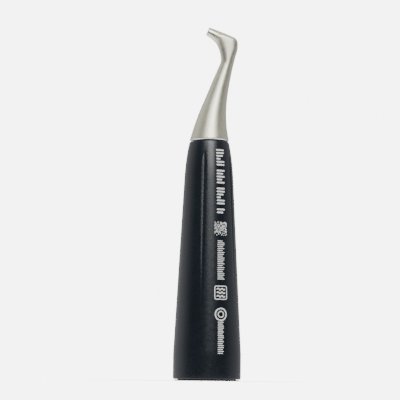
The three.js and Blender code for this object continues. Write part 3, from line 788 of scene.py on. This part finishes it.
valve_spring = skinned("valve_spring_wire", wire_rings(spring_path(), spring_wire, 12), closed=False)
dress(valve_spring, "handle", "valve_spring", spring_steel)
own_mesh(valve_spring)

plug_low, plug_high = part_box("valve_plug")
plug_slot = 0.6 * mm
plug_bore = 0.45 * mm
plug_outline = washer(plug_bore, valve_body, plug_low.z, plug_high.z)
plug = turned("valve_plug_brass", plug_outline, x=valve_x, turns=few_turns)
cut_out(plug, slot_mill((plug_slot, 4 * valve_body, 2 * plug_slot), (valve_x, 0, plug_high.z)))
dress(plug, "handle", "valve_plug", brass)

# ---------------- cage rods and tubes
# Two turned rods with reduced ends tie the rear block to the front block. Between them run the powder
# tube, on the axis, and the water tube, which is bent in to the front block's water hole.

rod_radius = 1 * mm
rod_end_radius = 0.7 * mm
rod_gap = 0.3 * mm
front_low, front_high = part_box("front_block")
for k, (low, high) in enumerate(rod_places, start=1):
    middle = rod_middles[k - 1]
    rod = turned(
        f"cage_rod_{k}_steel",
        [
            (0, low.z), (rod_end_radius, low.z), (rod_end_radius, block_high.z + rod_gap),
            (rod_radius, block_high.z + rod_gap), (rod_radius, front_low.z - rod_gap),
            (rod_end_radius, front_low.z - rod_gap), (rod_end_radius, high.z), (0, high.z),
        ],
        x=middle.x,
        y=middle.y,
        turns=few_turns,
    )
    dress(rod, "handle", f"cage_rod_{k}", tube_steel)

tube_low, tube_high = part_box("powder_tube")
powder_line = [Vector((0, 0, z)) for z in steps(tube_low.z, tube_high.z, 12) + [tube_high.z]]
powder_tube = skinned("powder_tube_steel", tube_rings(powder_line, tube_high.x, block_bore, 48))
dress(powder_tube, "handle", "powder_tube", tube_steel)

water_low, water_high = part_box("water_tube")
water_radius = water_high.y
water_bore = 0.45 * mm
water_top_x = water_low.x + water_radius
bend_low = block_high.z + 6 * mm
bend_high = front_low.z - 3 * mm


def curve_through(points):
    """A function from 0..1 to a point on the centripetal Catmull-Rom curve through the points."""
    ends = [2 * points[0] - points[1], *points, 2 * points[-1] - points[-2]]

    def at(share):
        spot = min(max(share, 0.0), 1.0) * (len(points) - 1)
        i = min(int(spot), len(points) - 2)
        t = spot - i
        p0, p1, p2, p3 = ends[i : i + 4]
        d0, d1, d2 = (max((b - a).length ** 0.5, 1e-9) for a, b in ((p0, p1), (p1, p2), (p2, p3)))
        t1 = ((p1 - p0) / d0 - (p2 - p0) / (d0 + d1) + (p2 - p1) / d1) * d1
        t2 = ((p2 - p1) / d1 - (p3 - p1) / (d1 + d2) + (p3 - p2) / d2) * d1
        bend = -3 * p1 + 3 * p2 - 2 * t1 - t2
        return p1 + t1 * t + bend * t * t + (2 * p1 - 2 * p2 + t1 + t2) * t**3

    return at


def even_path(curve, count):
    return [curve(i / count) for i in range(count + 1)]


water_line = curve_through(
    [
        Vector((valve_x, 0, water_low.z)),
        Vector((valve_x, 0, block_high.z)),
        Vector((valve_x, 0, bend_low)),
        Vector(((valve_x + water_top_x) / 2, 0, (bend_low + bend_high) / 2)),
        Vector((water_top_x, 0, bend_high)),
        Vector((water_top_x, 0, front_low.z)),
        Vector((water_top_x, 0, water_high.z)),
    ]
)
water_rings = tube_rings(even_path(water_line, 84), water_radius, water_bore)
water_tube = skinned("water_tube_steel", water_rings)
dress(water_tube, "handle", "water_tube", tube_steel)

# ---------------- front block, its gasket and gland
# A brass turning seats under the grip's inner lip on a rubber gasket. Its threaded stub stands out of
# the grip and takes the head. A steel bush holds the silicone ring that the head's jet tube slides in.

flange_radius = 5.6 * mm
flange_top = front_low.z + 8 * mm
stub_root = 3.25 * mm
thread_depth = 0.35 * mm
thread_pitch = 0.75 * mm
stub_top = front_high.z
head_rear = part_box("nozzle_head")[0].z
seal_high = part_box("head_seal_ring")[1]
seal_gap = 0.12 * mm
thread_low = seal_high.z + seal_gap
thread_high = thread_low + 6 * thread_pitch
port_pocket = 1.74 * mm
port_pocket_low = stub_top - 1.74 * mm
jet_bore = 0.95 * mm
joint_top = front_low.z + joint_depth
thread_turns = steps(0.0, 2 * pi, 96)


def thread_run_out(z):
    """How full the thread is at a height. It runs out over half a turn at its ends."""
    half_turn = 0.5 * thread_pitch
    return max(0.0, min(1.0, (z - thread_low) / half_turn, (thread_high - z) / half_turn))


def thread_form(angle, z):
    """A rounded right-hand thread: 0 at the root and 1 at the crest."""
    phase = ((z - thread_low) / thread_pitch - angle / (2 * pi)) % 1.0
    form = min(1.0, max(0.0, 1.35 * (1 - abs(2 * phase - 1)) - 0.12))
    return form * thread_run_out(z)


def stub_rings():
    """The front block's outline: flange, threaded stub, the gland's pocket, and the powder way."""
    flange_edge, stub_edge, pocket_edge = 0.15 * mm, 0.1 * mm, 0.06 * mm
    rows = [(flange_radius - flange_edge, front_low.z), (flange_radius, front_low.z + flange_edge)]
    rows += [(flange_radius, flange_top - flange_edge), (flange_radius - flange_edge, flange_top)]
    rows += [(stub_root + stub_edge, flange_top), (stub_root, flange_top + stub_edge)]
    rings = [ring_at(z, r, thread_turns) for r, z in rows]
    for z in steps(thread_low, thread_high, 96):
        rings.append(ring_at(z, lambda a, z=z: stub_root + thread_depth * thread_form(a, z), thread_turns))
    rows = [(stub_root, thread_high), (stub_root, stub_top - stub_edge), (stub_root - stub_edge, stub_top)]
    rows += [(port_pocket + pocket_edge, stub_top), (port_pocket, stub_top - pocket_edge)]
    rows += [(port_pocket, port_pocket_low), (jet_bore, port_pocket_low), (jet_bore, joint_top)]
    rows += [(tube_hole, joint_top), (tube_hole, front_low.z)]
    return rings + [ring_at(z, r, thread_turns) for r, z in rows]


front_block = skinned("front_block_brass", stub_rings(), crease=35)
cut_out(
    front_block,
    drill(water_bore, front_low.z - mm, stub_top + mm, water_top_x, sides=24),
    drill(water_hole, front_low.z - mm, joint_top, water_top_x, sides=32),
    *[drill(rod_hole, front_low.z - mm, joint_top, p.x, p.y, sides=24) for p in rod_middles],
    crease=35,
)
dress(front_block, "handle", "front_block", brass)

gasket_low, gasket_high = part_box("front_gasket")
gasket_bore = stub_root + 0.15 * mm
gasket = turned("front_gasket_rubber", washer(gasket_bore, gasket_high.x, gasket_low.z, gasket_high.z))
dress(gasket, "handle", "front_gasket", black_rubber)
dress(o_ring("port_seal_ring", "port_seal", few_turns), "handle", "port_seal", red_silicone)
bush_low, bush_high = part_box("port_bush")
bush_chamfer = 0.2 * mm
bush = turned(
    "port_bush_steel",
    bushing(jet_bore, bush_high.x, bush_low.z, bush_high.z, bush_chamfer),
    turns=few_turns,
    ease=0.05 * mm,
)
dress(bush, "handle", "port_bush", bright_steel)

# ---------------- hose socket and its ball latch
# The socket is a turned steel liner. Three balls stand through tapered holes into its bore and hold the
# hose plug's groove; an open spring ring around the liner presses them in.

liner_low, liner_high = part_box("socket_liner")
socket_bore = 6 * mm
socket_neck = 6.95 * mm
socket_radius = liner_high.x
socket_mouth = 0.5 * mm
socket_shoulder_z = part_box("end_ring")[1].z + 0.3 * mm
ring_low, ring_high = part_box("latch_ring")
latch_z = (ring_low.z + ring_high.z) / 2
latch_wire = (ring_high.z - ring_low.z) / 2
latch_groove = 7.55 * mm
latch_ring_radius = 7.97 * mm
latch_groove_half = latch_wire + 0.12 * mm
latch_ball_reach = 6.55 * mm
latch_angles = [radians(a) for a in (90, 210, 330)]

liner = turned(
    "socket_liner_steel",
    [
        (socket_bore, liner_low.z + socket_mouth), (socket_bore + socket_mouth, liner_low.z),
        (socket_neck, liner_low.z), (socket_neck, socket_shoulder_z),
        (socket_radius, socket_shoulder_z), (socket_radius, latch_z - latch_groove_half),
        (latch_groove, latch_z - latch_groove_half), (latch_groove, latch_z + latch_groove_half),
        (socket_radius, latch_z + latch_groove_half), (socket_radius, liner_high.z),
        (socket_bore, liner_high.z),
    ],
)


def ball_hole(angle):
    """Cutters for a ball's hole, which narrows towards the bore so that the ball can't fall in."""
    narrow, wide, overlap = 0.895 * mm, 1.15 * mm, 0.06 * mm
    lie_flat = Matrix.Rotation(pi / 2, 4, "Y")
    turn = Matrix.Translation((0, 0, latch_z)) @ Matrix.Rotation(angle, 4, "Z") @ lie_flat
    cutters = [
        drill(narrow, socket_bore - mm, socket_bore + overlap),
        drill(narrow, socket_bore, latch_ball_reach, top_radius=wide),
        drill(wide, latch_ball_reach - overlap, socket_radius + mm),
    ]
    for cutter in cutters:
        cutter.data.transform(turn)
    return cutters


cut_out(liner, *[cutter for angle in latch_angles for cutter in ball_hole(angle)])
dress(liner, "handle", "socket_liner", bright_steel)
ring_opening = radians(40)
ring_start = -pi / 2 + ring_opening / 2
ring_parts = [
    (radians(30), radians(150)),
    (radians(150), 1.5 * pi - ring_opening / 2),
    (ring_start, radians(30)),
]
for k, (angle, (start, end)) in enumerate(zip(latch_angles, ring_parts), start=1):
    ball = lapped_ball(f"latch_ball_{k}_steel", f"latch_ball_{k}")
    dress(ball, f"latch_ball_{k}", f"latch_ball_{k}", polished_steel)
    arc = [
        Vector((latch_ring_radius * cos(a), latch_ring_radius * sin(a), latch_z))
        for a in steps(start, end, 40) + [end]
    ]
    part = skinned(f"latch_ring_{k}", wire_rings(arc, latch_wire), closed=False)
    part.data.materials.append(spring_steel)
    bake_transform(part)
    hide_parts("latch_ring")

# ---------------- end ring
# A black aluminium ring screws into the rear of the grip and holds the stack in. Its lip shows as the
# thin dark line that the handle stands on, and a pin spanner turns it by four slots.

end_low, end_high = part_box("end_ring")
ring_bore = 7.1 * mm
ring_lip = end_high.x
ring_lip_top = 0.38 * mm
ring_thread = rear_radius - 1.3 * mm
ring_thread_pitch = 0.5 * mm
ring_thread_depth = 0.22 * mm
ring_chamfer = 0.15 * mm


def ring_thread_radius(angle, z, low, high):
    """The end ring's sharp thread, which runs out over a turn at its ends."""
    run_out = min(1.0, (z - low) / ring_thread_pitch, (high - z) / ring_thread_pitch)
    phase = (z / ring_thread_pitch - angle / (2 * pi)) % 1.0
    return ring_thread - ring_thread_depth * (1 - run_out * (1 - abs(2 * phase - 1)))


def end_ring_rings():
    """The end ring's outline: lip, undercut, thread and bore."""
    lip_edge, bore_edge = 0.05 * mm, 0.1 * mm
    rows = [(ring_bore + 2 * ring_chamfer, end_low.z), (ring_lip - ring_chamfer, end_low.z)]
    rows += [(ring_lip, end_low.z + ring_chamfer), (ring_lip, ring_lip_top - lip_edge)]
    rows += [(ring_lip - lip_edge, ring_lip_top), (ring_thread - ring_thread_depth, ring_lip_top)]
    rings = [ring_at(z, r, thread_turns) for r, z in rows]
    low, high = ring_lip_top + 0.5 * mm, end_high.z - 0.3 * mm
    for z in steps(low, high, 132):
        rings.append(ring_at(z, lambda a, z=z: ring_thread_radius(a, z, low, high), thread_turns))
    root = ring_thread - ring_thread_depth
    rows = [(root, high), (root - 0.2 * mm, end_high.z)]
    rows += [(ring_bore + bore_edge, end_high.z), (ring_bore, end_high.z - bore_edge)]
    rows += [(ring_bore, end_low.z + 2 * ring_chamfer)]
    return rings + [ring_at(z, r, thread_turns) for r, z in rows]


spanner_slot = 1.6 * mm
end_ring = skinned("end_ring_black", end_ring_rings(), crease=35)
cut_out(
    end_ring,
    *[
        slot_mill((spanner_slot, spanner_slot, spanner_slot), (ring_bore + spanner_slot / 3, 0, 0), turn)
        for turn in [radians(a) for a in (45, 135, 225, 315)]
    ],
    crease=35,
)
black_ring = anodised("black_ring", (0.0030, 0.0034, 0.0040), (0.0050, 0.0054, 0.0060), 0.3, 0.38)
dress(end_ring, "handle", "end_ring", black_ring)

# ---------------- head
# The head is a stainless investment casting, bored and threaded from its rear face. It is bead blasted
# to a soft satin, apart from the polished chamfer that meets the grip. The nozzle's end is buffed.

head_radius = 6.4 * mm
head_chamfer = 0.5 * mm
stub_clearance = 0.15 * mm
head_bore = stub_root + thread_depth + stub_clearance
head_bore_top = stub_top + 0.3 * mm
seal_pocket = seal_high.x + seal_gap
water_way_share = 0.7
water_way_most = 3.2 * mm
water_way_start = 0.14
water_way_end = 0.985
mouth_lip = 0.14 * mm
head_columns = steps(0.0, 2 * pi, 96)

# Where each rib of the casting starts on the inner side of the bend and ends on the outer side, as
# (x, height above the grip) in millimetres, from the chamfer to the mouth.
head_ribs = [
    ((-6.4, 0.8), (6.4, 0.8)),
    ((-5.1, 5.03), (5.78, 4.62)),
    ((-3.35, 10.06), (5.5, 9.24)),
    ((-1.15, 15.4), (5.72, 13.96)),
    ((1.05, 20.84), (6.45, 19.3)),
    ((2.65, 24.63), (7.3, 23.81)),
    ((3.58, 27.1), (8.1, 27.4)),
    ((3.38, 29.46), (9.12, 31.72)),
    ((2.75, 31.51), (8.7, 34.28)),
    ((1.85, 33.05), (6.3, 35.67)),
    ((0.3, 34.38), (2.6, 37.1)),
    ((-1.45, 35.5), (-0.36, 38.14)),
]


def rib_point(x, z):
    return Vector((x * mm, 0, grip_front + z * mm))


inner_side = curve_through([rib_point(*start) for start, end in head_ribs])
outer_side = curve_through([rib_point(*end) for start, end in head_ribs])


def half_width(share):
    return (outer_side(share) - inner_side(share)).length / 2


def middle_of(share):
    return (inner_side(share) + outer_side(share)) / 2


depth_samples = 400
least_widths = [half_width(0)]
for sample in range(1, depth_samples + 1):
    least_widths.append(min(least_widths[-1], half_width(sample / depth_samples)))


def half_depth(share):
    """Half the depth along Y. The casting only gets thinner towards the mouth, so the knee is a web."""
    spot = share * depth_samples
    i = min(int(spot), depth_samples - 1)
    return least_widths[i] + (least_widths[i + 1] - least_widths[i]) * (spot - i)


def water_way(share):
    return min(water_way_most, water_way_share * half_depth(share))


def rib_ring(share, wide, deep, out=0.0):
    """Points round a rib, moved out along the nozzle where asked. The web's sides are flattened."""
    centre = middle_of(share)
    side = (outer_side(share) - centre).normalized()
    ahead = Vector((-side.z, 0, side.x))
    fullness = 2 / (2 + 2.6 * max(0.0, 1 - deep / wide))
    ring = []
    for a in head_columns:
        c, s = cos(a), sin(a)
        x = copysign(abs(c) ** fullness, c) * wide
        y = copysign(abs(s) ** fullness, s) * deep
        ring.append(centre + ahead * out + side * x + Vector((0, y, 0)))
    return ring


def mouth_rings():
    """The nozzle's rounded end, from the outside over to the water way."""
    wide, deep, bore = half_width(1), half_depth(1), water_way(1)

    def lip_at(turn):
        t = radians(turn)
        return mouth_lip * (1 - cos(t)), mouth_lip * (sin(t) - 1)

    rings = [rib_ring(1, wide - inset, deep - inset, out) for inset, out in map(lip_at, (30, 60, 90))]
    rings += [rib_ring(1, bore + inset, bore + inset, out) for inset, out in map(lip_at, (90, 45, 0))]
    return rings


def head_rings():
    """The casting, up the outside, over the mouth and down the water way to the threaded socket."""
    base = head_radius - head_chamfer / 2
    rows = [(base - 0.03 * mm, head_rear), (base, head_rear + 0.02 * mm)]
    rows += [(head_radius - 0.01 * mm, head_rear + head_chamfer - 0.04 * mm)]
    rings = [ring_at(z, r, head_columns) for r, z in rows]
    shares = [i / 170 for i in range(170)]
    rings += [rib_ring(share, half_width(share), half_depth(share)) for share in shares]
    rings += mouth_rings()
    shares = [water_way_end - (water_way_end - water_way_start) * i / 70 for i in range(71)]
    rings += [rib_ring(share, water_way(share), water_way(share)) for share in shares]
    rings += [ring_at(head_bore_top, water_way_most, head_columns)]
    rings += [ring_at(head_bore_top, head_bore, head_columns)]
    for z in reversed(steps(thread_low, thread_high, 84)):
        crest = head_bore - thread_depth * thread_run_out(z)
        size = lambda a, z=z, crest=crest: crest + thread_depth * thread_form(a, z)
        rings.append(ring_at(z, size, head_columns))
    rows = [(head_bore, thread_low), (seal_pocket, thread_low), (seal_pocket, head_rear + 0.1 * mm)]
    rows += [(seal_pocket + 0.1 * mm, head_rear)]
    return rings + [ring_at(z, r, head_columns) for r, z in rows]


def cast_satin(name, colour, rough):
    """A bead-blasted casting: a fine frosted grain over a slight unevenness."""
    material, surface = shader(name, colour, 1.0, rough)
    patch = noise(material, 0.8 * mm, 6)
    dull = tuple(0.88 * c for c in colour)
    tinted(material, surface, patch, (0.3, dull), (0.7, colour))
    roughened(material, surface, patch, rough - 0.025, rough + 0.03)
    frost = noise(material, 0.1 * mm, 3)
    grained(material, surface, (frost, 0.0015 * mm), (noise(material, 0.5 * mm, 4), 0.003 * mm))
    return material


satin_steel = cast_satin("satin_steel", (0.79, 0.775, 0.61), 0.37)
buffed_steel = cast_satin("buffed_steel", (0.74, 0.73, 0.62), 0.27)
head = skinned("head", head_rings(), crease=40)
for finish in (satin_steel, polished_steel, buffed_steel):
    head.data.materials.append(finish)
mouth_middle = middle_of(1)
buffed_reach = 3.2 * mm
for face in head.data.polygons:
    if face.center.z < head_rear + head_chamfer:
        face.material_index = 1
    elif (face.center - mouth_middle).length < buffed_reach:
        face.material_index = 2
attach(head, "head")
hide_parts("nozzle_head")

# ---------------- jet tube, powder nozzle and spacer
# A bent steel tube carries air and powder through the middle of the water way, centred by a slotted
# polymer disc. The hard jet sits just inside the mouth, so the water leaves as a ring around it.

mouth_side = (outer_side(1) - mouth_middle).normalized()
mouth_out = Vector((-mouth_side.z, 0, mouth_side.x))
mouth_turn = Vector((0, 0, 1)).rotation_difference(mouth_out).to_matrix().to_4x4()
jet_length = 2.7 * mm
jet_recess = 0.2 * mm
jet_radius = 0.7 * mm
jet_hole = 0.4 * mm
jet = turned(
    "powder_jet",
    washer(jet_hole, jet_radius, -jet_recess - jet_length, -jet_recess),
    turns=few_turns,
    ease=0.05 * mm,
)
jet.data.transform(Matrix.Translation(mouth_middle) @ mouth_turn)
dress(jet, "head", "powder_nozzle", polished_steel)

jet_tube_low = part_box("head_powder_tube")[0].z
jet_straight_top = head_bore_top + mm
jet_straight = jet_straight_top - jet_tube_low
jet_tube_radius = 0.8 * mm
jet_tube_bore = 0.5 * mm
jet_points = [Vector((0, 0, jet_tube_low + jet_straight * s)) for s in (0, 0.33, 0.66, 0.9, 1)]
jet_points += [middle_of(0.22 + (0.86 - 0.22) * i / 16) for i in range(17)]
jet_points.append(mouth_middle - mouth_out * (jet_recess + jet_length + 0.3 * mm))
jet_line = curve_through(jet_points)
jet_tube_rings = tube_rings(even_path(jet_line, 176), jet_tube_radius, jet_tube_bore, 28)
jet_tube = skinned("jet_tube_steel", jet_tube_rings)
dress(jet_tube, "head", "head_powder_tube", tube_steel)

spacer_low, spacer_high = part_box("tube_spacer")
spacer_centre = (spacer_low + spacer_high) / 2
line_points = even_path(jet_line, 400)
nearest = min(range(1, 400), key=lambda i: (line_points[i] - spacer_centre).length)
spacer_along = (line_points[nearest + 1] - line_points[nearest - 1]).normalized()
spacer_radius = spacer_high.y
spacer_half = 0.6 * mm
spacer_bore = 0.95 * mm
spacer_outline = washer(spacer_bore, spacer_radius, -spacer_half, spacer_half)
spacer = turned("tube_spacer_disc", spacer_outline, turns=few_turns)
slots = [
    drill(spacer_radius / 4, -mm, mm, spacer_radius * cos(a), spacer_radius * sin(a), sides=24)
    for a in steps(0.0, 2 * pi, 3)
]
cut_out(spacer, *slots)
spacer_turn = Vector((0, 0, 1)).rotation_difference(spacer_along).to_matrix().to_4x4()
spacer.data.transform(Matrix.Translation(spacer_centre) @ spacer_turn)
dress(spacer, "head", "tube_spacer", amber_polymer)
dress(o_ring("head_seal", "head_seal_ring"), "head_thread", "head_seal_ring", red_silicone)

# ---------------- bench, tent and lights
# The handpiece stands on a pale bench inside a white light tent, in a room that is dimmer at the front.
# One soft box hangs in front, a wide one hangs above it, and a tall strip stands behind.

bench_radius = 60 * mm
bench_mesh = bpy.data.meshes.new("bench")
bench_shell = bmesh.new()
bmesh.ops.create_circle(bench_shell, cap_ends=True, segments=64, radius=bench_radius)
bench_shell.to_mesh(bench_mesh)
bench_shell.free()
added("bench", bench_mesh)

tent_white = 6.5
tent_radius = 3.0
tent_floor_z = -0.3 * mm
tent = added("tent", bpy.data.meshes.new("tent"))
tent_shell = bmesh.new()
bmesh.ops.create_uvsphere(tent_shell, u_segments=48, v_segments=24, radius=tent_radius)
bmesh.ops.bisect_plane(
    tent_shell,
    geom=tent_shell.verts[:] + tent_shell.edges[:] + tent_shell.faces[:],
    plane_co=(0, 0, tent_floor_z),
    plane_no=(0, 0, -1),
    clear_outer=True,
)
bmesh.ops.holes_fill(tent_shell, edges=tent_shell.edges[:])
tent_shell.to_mesh(tent.data)
tent_shell.free()
for seen_by in ("visible_diffuse", "visible_glossy", "visible_transmission", "visible_shadow"):
    setattr(tent, seen_by, False)
tent_material, tent_surface = shader("tent", (0, 0, 0), 0.0, 1.0)
tent_surface.inputs["Emission Color"].default_value = (1, 1, 1, 1)
tent_surface.inputs["Emission Strength"].default_value = tent_white
tent.data.materials.append(tent_material)

bench_material, bench_surface = shader("bench", (0.9, 0.9, 0.89), 0.0, 0.7)
fade = node(bench_material, "MapRange", Value=length_of(bench_material, place(bench_material)))
fade.interpolation_type = "SMOOTHSTEP"
fade.inputs["From Min"].default_value = 8 * mm
fade.inputs["From Max"].default_value = bench_radius
fade.inputs["To Min"].default_value = 0.6
fade.inputs["To Max"].default_value = 0.0
link(bench_material, fade.outputs["Result"], bench_surface.inputs["Alpha"])
bench_mesh.materials.append(bench_material)


def soft_box(name, side, rise, distance, width, height, brightness):
    """A rectangular lamp that faces the handpiece from an azimuth and elevation in degrees."""
    lamp_data = bpy.data.lights.new(name, "AREA")
    lamp_data.shape = "RECTANGLE"
    lamp_data.size = width
    lamp_data.size_y = height
    lamp_data.energy = brightness * width * height * pi
    lamp = added(name, lamp_data)
    a, e = radians(side), radians(rise)
    outward = Vector((sin(a) * cos(e), -cos(a) * cos(e), sin(e)))
    lamp.location = view_middle + distance * outward
    lamp.rotation_euler = outward.to_track_quat("Z", "Y").to_euler()
    lamp.visible_camera = False


soft_box("front_box", side=4, rise=29, distance=0.8, width=0.37, height=0.46, brightness=6.0)
soft_box("upper_box", side=0, rise=42, distance=0.8, width=0.90, height=0.28, brightness=3.0)
soft_box("back_strip", side=180, rise=3, distance=0.8, width=0.18, height=0.80, brightness=4.0)

world = bpy.data.worlds.new("room")
bpy.context.scene.world = world
world.use_nodes = True
sky = world.node_tree.nodes["Background"]
direction = node(world, "SeparateXYZ", Vector=node(world, "TexCoord").outputs["Generated"]).outputs
depth_way = node(world, "VectorMath", Vector=node(world, "TexCoord").outputs["Generated"])
depth_way.operation = "DOT_PRODUCT"
depth_way.inputs[1].default_value = (0.15, 1.0, 0.0)
room_side = ranged(world, direction["X"], low=0.78, high=0.53, start=-0.9, end=0.7)
room_depth = ranged(world, depth_way.outputs["Value"], low=0.18, high=1.0, start=-0.50, end=0.13)
room_floor = ranged(world, direction["Z"], low=1.5, high=0.0, start=-0.70, end=-0.28)
room_top = ranged(world, direction["Z"], low=0.0, high=0.4, start=0.42, end=0.8)


def combined(material, operation, a, b):
    made = node(material, "Math")
    made.operation = operation
    link(material, a, made.inputs[0])
    link(material, b, made.inputs[1])
    return made.outputs["Value"]


walls = combined(world, "MULTIPLY", room_side, room_depth)
ends = combined(world, "ADD", room_floor, room_top)
link(world, combined(world, "ADD", walls, ends), sky.inputs["Strength"])
sky.inputs["Color"].default_value = (1, 1, 1, 1)
